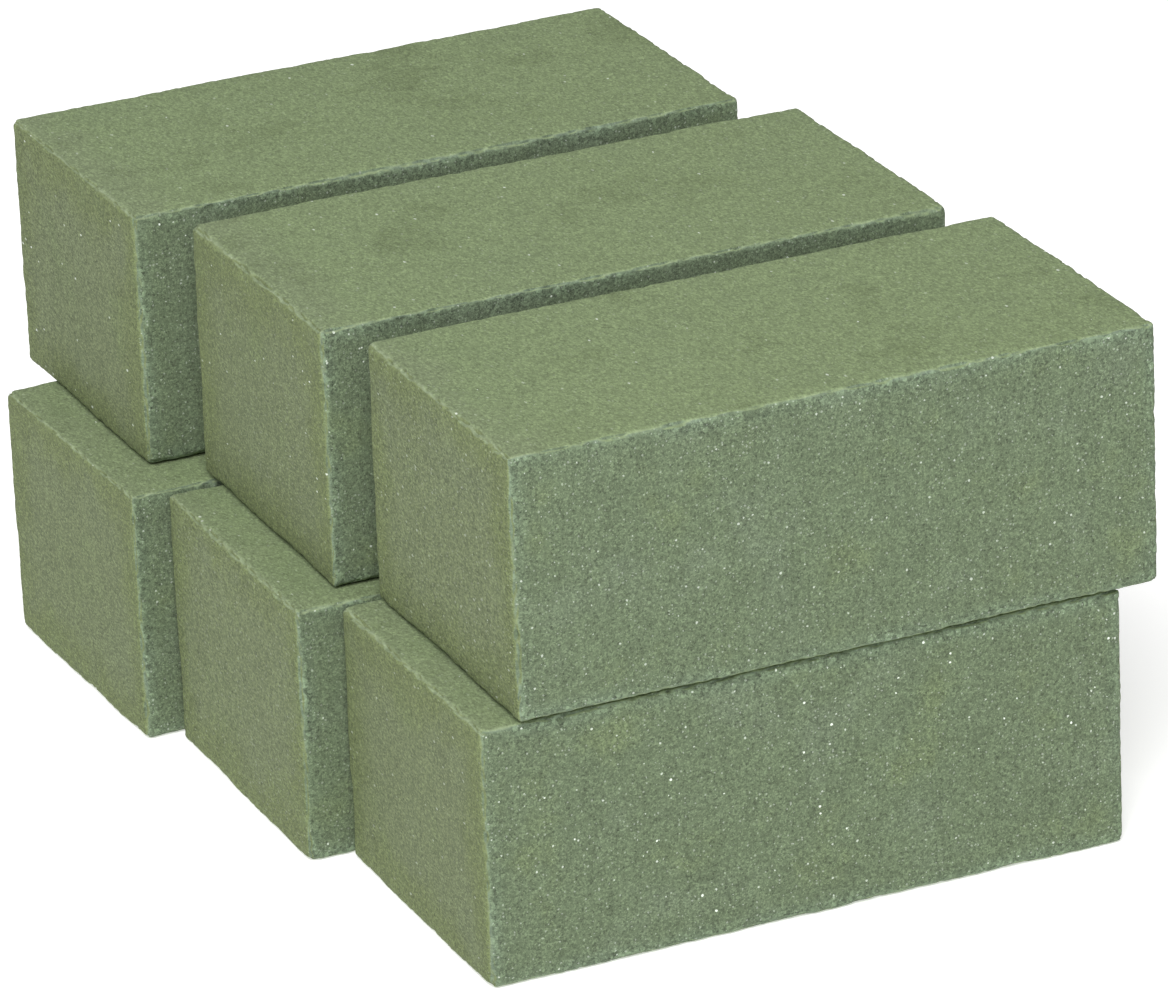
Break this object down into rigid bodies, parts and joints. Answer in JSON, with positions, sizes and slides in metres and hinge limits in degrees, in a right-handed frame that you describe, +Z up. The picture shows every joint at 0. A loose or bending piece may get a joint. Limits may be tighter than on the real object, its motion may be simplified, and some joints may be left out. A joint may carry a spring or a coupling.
{
  "type": "floral foam brick stack",
  "caption": "Loose rectangular blocks of dry floral foam with crumbled edges, stacked in two layers of three; each block lifts or slides away.",
  "frame": {"origin": "middle of the stack's footprint, on the surface it stands on", "axes": "+X along the bricks' length, +Y from the front row to the back row, +Z up"},
  "size_m": [0.2354, 0.327, 0.1603],
  "materials": {
    "foam": "open-celled rigid foam, grey-green, matt with fine sparkling cell walls"
  },
  "bodies": {
    "bottom_middle": {"brick_bottom_middle": "foam"},
    "bottom_front": {"brick_bottom_front": "foam"},
    "bottom_back": {"brick_bottom_back": "foam"},
    "top_front": {"brick_top_front": "foam"},
    "top_middle": {"brick_top_middle": "foam"},
    "top_back": {"brick_top_back": "foam"}
  },
  "joints": [
    {"name": "bottom_front_slide", "type": "slide", "parent": "bottom_middle", "child": "bottom_front", "axis": [0, -1, 0], "range_m": [0, 0.15]},
    {"name": "bottom_back_slide", "type": "slide", "parent": "bottom_middle", "child": "bottom_back", "axis": [0, 1, 0], "range_m": [0, 0.15]},
    {"name": "top_front_lift", "type": "slide", "parent": "bottom_front", "child": "top_front", "axis": [0, 0, 1], "range_m": [0, 0.1]},
    {"name": "top_middle_lift", "type": "slide", "parent": "bottom_middle", "child": "top_middle", "axis": [0, 0, 1], "range_m": [0, 0.1]},
    {"name": "top_back_lift", "type": "slide", "parent": "bottom_back", "child": "top_back", "axis": [0, 0, 1], "range_m": [0, 0.1]}
  ]
}
